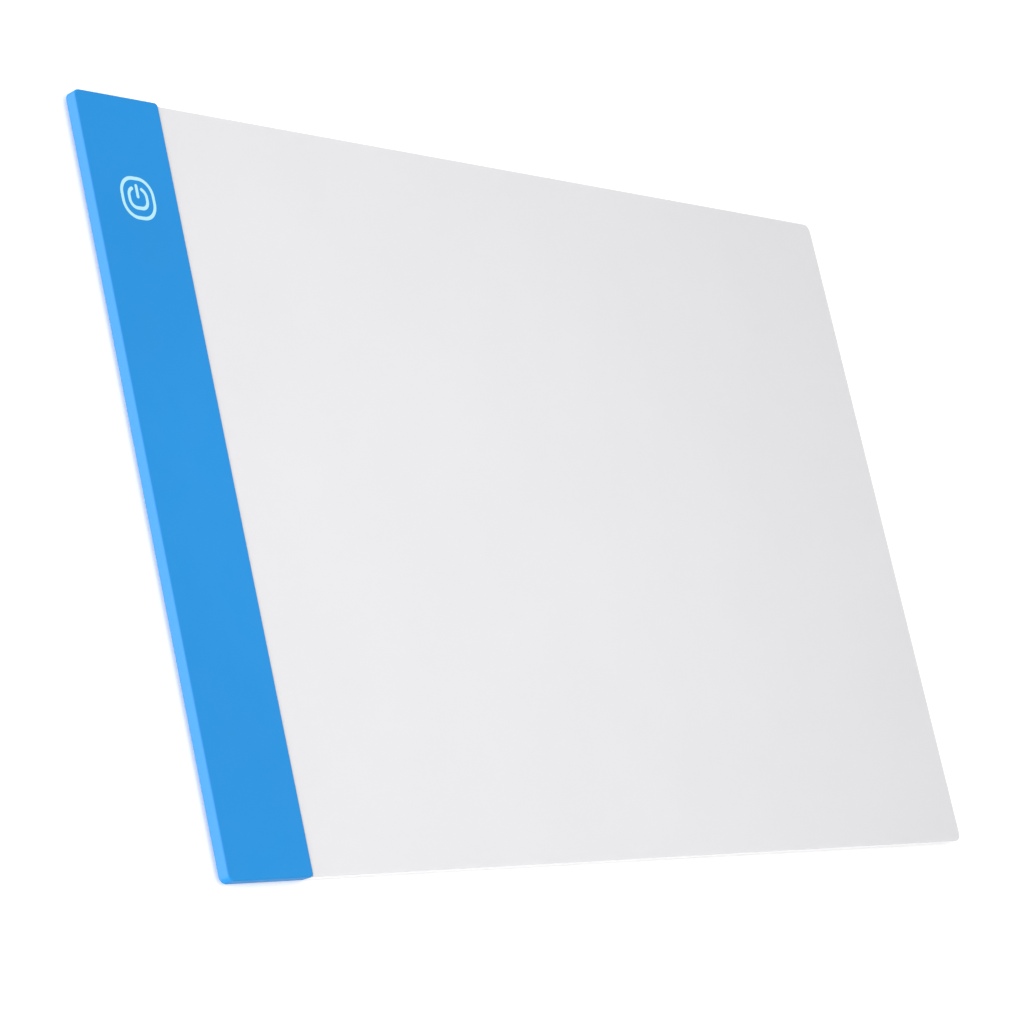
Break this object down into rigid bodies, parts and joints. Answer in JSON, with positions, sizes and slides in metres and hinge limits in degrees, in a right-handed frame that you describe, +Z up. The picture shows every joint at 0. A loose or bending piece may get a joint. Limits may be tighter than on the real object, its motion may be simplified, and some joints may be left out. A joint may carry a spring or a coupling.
{
  "type": "light box",
  "caption": "Thin A4 light pad for tracing: an edge-lit white drawing panel with a control bar, a touch power key and a micro-USB inlet.",
  "frame": {"origin": "on the surface that the feet stand on, under the middle of the pad", "axes": "+X along the long side, away from the control bar; +Y along the bar towards the power inlet; +Z up, out of the drawing face"},
  "size_m": [0.3306, 0.212, 0.0045],
  "materials": {
    "blue_plastic": "satin moulded ABS",
    "key_print": "pale printed ink",
    "opal_sheet": "milky matt sheet",
    "white_trim": "satin white band",
    "back_sheet": "fine matt white sheet",
    "film": "white film",
    "acrylic": "clear polished acrylic",
    "steel": "plated steel",
    "white_board": "white solder mask",
    "green_board": "green solder mask",
    "led_body": "phosphor resin",
    "chip_black": "moulded black",
    "ceramic_part": "fired",
    "seal_tape": "reflective tape",
    "foam_tape": "foam",
    "conductive_foam": "foam",
    "gold_contact": "gold plated",
    "wire_red": "smooth",
    "wire_black": "smooth",
    "foot_rubber": "soft matt"
  },
  "bodies": {
    "root": {"bar_housing": "blue_plastic", "bar_back_cover": "blue_plastic", "cover_screws": "steel", "power_symbol": "key_print", "front_sheet": "opal_sheet", "diffuser_film": "film", "light_guide_plate": "acrylic", "reflector_film": "film", "back_plate": "back_sheet", "edge_trim": "white_trim", "led_board": "white_board", "leds": "led_body", "led_resistors": "chip_black", "light_seal_tape": "seal_tape", "control_board": "green_board", "board_tape": "foam_tape", "touch_electrode": "conductive_foam", "touch_chip": "chip_black", "touch_chip_pins": "steel", "dimmer_transistor": "chip_black", "transistor_pins": "steel", "board_resistors": "chip_black", "board_capacitors": "ceramic_part", "usb_shell": "steel", "usb_insert": "chip_black", "usb_contacts": "gold_contact", "wire_red": "wire_red", "wire_black": "wire_black", "rubber_feet": "foot_rubber"}
  },
  "joints": []
}
